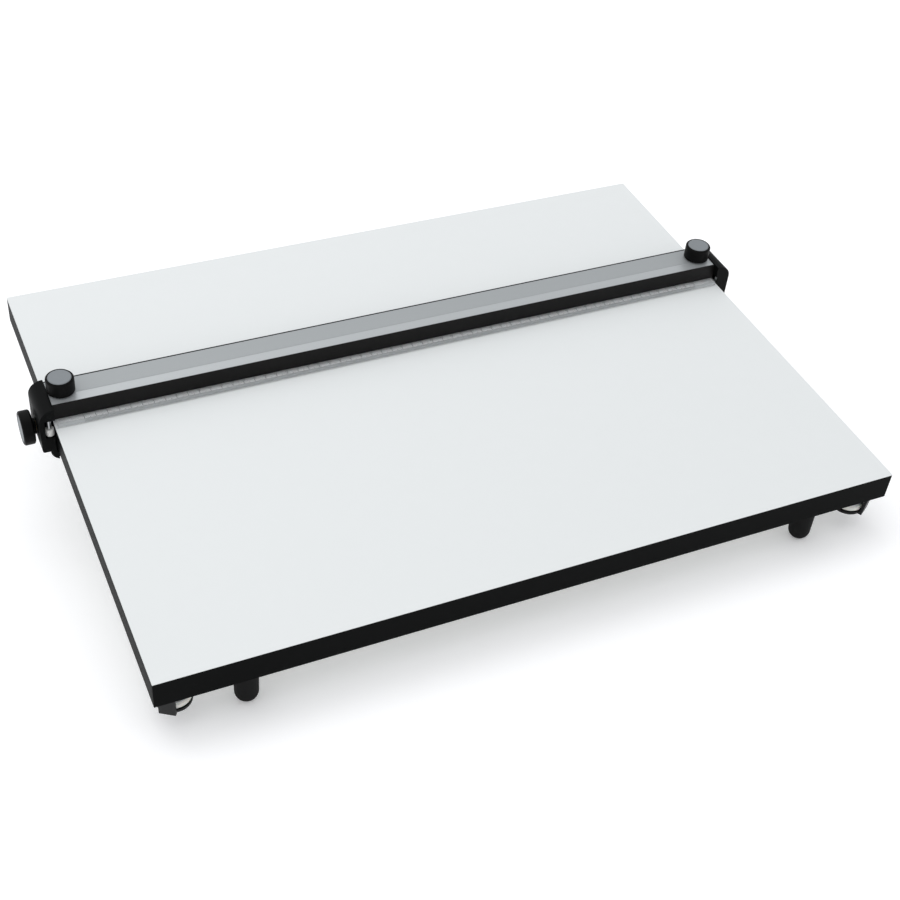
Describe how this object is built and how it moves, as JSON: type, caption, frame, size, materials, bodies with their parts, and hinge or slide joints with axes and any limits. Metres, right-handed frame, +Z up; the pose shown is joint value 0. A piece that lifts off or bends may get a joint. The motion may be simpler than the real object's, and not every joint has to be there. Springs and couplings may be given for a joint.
{
  "type": "parallel motion drawing board",
  "caption": "Portable tilted drawing board with a wire-guided sliding straightedge, clear graduated scale, clamp and brake knobs, and folding rear legs.",
  "frame": {"origin": "at table level, below the middle of the whole object's box as it stands on its four feet", "axes": "+X to the right along the straightedge, +Y to the raised back edge, +Z up from the table"},
  "size_m": [0.6894, 0.4773, 0.1498],
  "materials": {
    "chipboard": "raw pressed board",
    "white_laminate": "fine matt white laminate",
    "backing_laminate": "plain grey-white backing",
    "black_edging": "satin black plastic strip",
    "black_rubber": "matt moulded rubber",
    "plated_steel": "bright zinc plate",
    "black_painted_steel": "satin black powder coat",
    "white_nylon": "moulded white nylon",
    "natural_nylon": "turned natural nylon",
    "steel_wire": "twisted bright wire",
    "black_anodised": "satin black anodised extrusion",
    "grey_anodised": "satin grey anodised strip",
    "clear_acrylic": "polished clear acrylic with black graduations",
    "black_moulding": "fine-textured black moulding",
    "brass": "turned brass",
    "black_knob": "satin black moulding",
    "grey_cap": "satin grey inlaid disc",
    "brake_rubber": "brown friction rubber"
  },
  "bodies": {
    "board": {"board_core": "chipboard", "top_laminate": "white_laminate", "bottom_laminate": "backing_laminate", "front_edging": "black_edging", "back_edging": "black_edging", "left_edging": "black_edging", "right_edging": "black_edging", "left_foot": "black_rubber", "right_foot": "black_rubber", "foot_studs": "plated_steel", "front_left_bracket": "black_painted_steel", "front_right_bracket": "black_painted_steel", "back_left_bracket": "black_painted_steel", "back_right_bracket": "black_painted_steel", "bracket_screws": "plated_steel", "pulley_axles": "plated_steel", "pulley_washers": "white_nylon", "wire_rope": "steel_wire", "left_leg_bracket": "black_painted_steel", "right_leg_bracket": "black_painted_steel", "leg_bracket_screws": "plated_steel", "leg_pivot_pins": "plated_steel"},
    "front_left_wheel": {"front_left_pulley": "natural_nylon"},
    "front_right_wheel": {"front_right_pulley": "natural_nylon"},
    "back_left_wheel": {"back_left_pulley": "natural_nylon"},
    "back_right_wheel": {"back_right_pulley": "natural_nylon"},
    "left_stand_leg": {"left_leg": "black_painted_steel", "left_leg_tip": "black_rubber"},
    "right_stand_leg": {"right_leg": "black_painted_steel", "right_leg_tip": "black_rubber"},
    "straightedge": {"rule_body": "black_anodised", "rule_cover": "grey_anodised", "clear_scale": "clear_acrylic", "scale_screws": "plated_steel", "left_carriage": "black_moulding", "right_carriage": "black_moulding", "clamp_inserts": "brass", "roller_pins": "plated_steel", "left_wire_clamp": "black_moulding", "right_wire_clamp": "black_moulding", "wire_clamp_screws": "plated_steel", "tension_spring": "plated_steel", "wire_ferrule": "brass", "brake_bush": "brass"},
    "left_front_guide": {"left_front_roller": "white_nylon"},
    "left_back_guide": {"left_back_roller": "white_nylon"},
    "right_front_guide": {"right_front_roller": "white_nylon"},
    "right_back_guide": {"right_back_roller": "white_nylon"},
    "left_clamp": {"left_clamp_knob": "black_knob", "left_clamp_cap": "grey_cap", "left_clamp_stud": "plated_steel"},
    "right_clamp": {"right_clamp_knob": "black_knob", "right_clamp_cap": "grey_cap", "right_clamp_stud": "plated_steel"},
    "brake": {"brake_knob": "black_knob", "brake_cap": "grey_cap", "brake_stud": "plated_steel"},
    "brake_shoe": {"brake_pad": "brake_rubber", "brake_pad_holder": "plated_steel"}
  },
  "joints": [
    {"name": "straightedge_slide", "type": "slide", "parent": "board", "child": "straightedge", "axis": [0, 0.9826, 0.1857], "range_m": [-0.262, 0.116]},
    {"name": "front_left_pulley_turn", "type": "hinge", "parent": "board", "child": "front_left_wheel", "pos_m": [-0.29985, -0.21136, 0.02582], "axis": [0, -0.1857, 0.9826], "range_deg": [-1260, 1260]},
    {"name": "front_right_pulley_turn", "type": "hinge", "parent": "board", "child": "front_right_wheel", "pos_m": [0.31115, -0.21136, 0.02582], "axis": [0, -0.1857, 0.9826], "range_deg": [-1260, 1260]},
    {"name": "back_left_pulley_turn", "type": "hinge", "parent": "board", "child": "back_left_wheel", "pos_m": [-0.29985, 0.22001, 0.10733], "axis": [0, -0.1857, 0.9826], "range_deg": [-1260, 1260]},
    {"name": "back_right_pulley_turn", "type": "hinge", "parent": "board", "child": "back_right_wheel", "pos_m": [0.31115, 0.22001, 0.10733], "axis": [0, -0.1857, 0.9826], "range_deg": [-1260, 1260]},
    {"name": "left_front_roller_turn", "type": "hinge", "parent": "straightedge", "child": "left_front_guide", "pos_m": [-0.3234, 0.05401, 0.10527], "axis": [0, -0.1857, 0.9826], "range_deg": [-3960, 3960]},
    {"name": "left_back_roller_turn", "type": "hinge", "parent": "straightedge", "child": "left_back_guide", "pos_m": [-0.3234, 0.08545, 0.11121], "axis": [0, -0.1857, 0.9826], "range_deg": [-3960, 3960]},
    {"name": "right_front_roller_turn", "type": "hinge", "parent": "straightedge", "child": "right_front_guide", "pos_m": [0.3347, 0.05401, 0.10527], "axis": [0, -0.1857, 0.9826], "range_deg": [-3960, 3960]},
    {"name": "right_back_roller_turn", "type": "hinge", "parent": "straightedge", "child": "right_back_guide", "pos_m": [0.3347, 0.08545, 0.11121], "axis": [0, -0.1857, 0.9826], "range_deg": [-3960, 3960]},
    {"name": "left_clamp_turn", "type": "hinge", "parent": "straightedge", "child": "left_clamp", "pos_m": [-0.30705, 0.06664, 0.14073], "axis": [0, -0.1857, 0.9826], "range_deg": [0, 360]},
    {"name": "right_clamp_turn", "type": "hinge", "parent": "straightedge", "child": "right_clamp", "pos_m": [0.31835, 0.06664, 0.14073], "axis": [0, -0.1857, 0.9826], "range_deg": [0, 360]},
    {"name": "brake_turn", "type": "hinge", "parent": "straightedge", "child": "brake", "pos_m": [-0.33435, 0.07173, 0.10302], "axis": [1, 0, 0], "range_deg": [0, 270]},
    {"name": "brake_shoe_slide", "type": "slide", "parent": "straightedge", "child": "brake_shoe", "axis": [1, 0, 0], "range_m": [0, 0.0008]},
    {"name": "left_leg_fold", "type": "hinge", "parent": "board", "child": "left_stand_leg", "pos_m": [-0.20435, 0.19625, 0.10111], "axis": [0, -0.9826, -0.1857], "range_deg": [0, 94]},
    {"name": "right_leg_fold", "type": "hinge", "parent": "board", "child": "right_stand_leg", "pos_m": [0.21565, 0.19625, 0.10111], "axis": [0, 0.9826, 0.1857], "range_deg": [0, 94]}
  ],
  "couplings": [
    {"joint": "front_left_pulley_turn", "follows": "straightedge_slide", "rad_per_m": -74.627},
    {"joint": "front_right_pulley_turn", "follows": "straightedge_slide", "rad_per_m": 74.627},
    {"joint": "back_left_pulley_turn", "follows": "straightedge_slide", "rad_per_m": -74.627},
    {"joint": "back_right_pulley_turn", "follows": "straightedge_slide", "rad_per_m": 74.627},
    {"joint": "left_front_roller_turn", "follows": "straightedge_slide", "rad_per_m": -250},
    {"joint": "left_back_roller_turn", "follows": "straightedge_slide", "rad_per_m": -250},
    {"joint": "right_front_roller_turn", "follows": "straightedge_slide", "rad_per_m": 250},
    {"joint": "right_back_roller_turn", "follows": "straightedge_slide", "rad_per_m": 250},
    {"joint": "brake_shoe_slide", "follows": "brake_turn", "m_per_rad": 0.00015915}
  ]
}
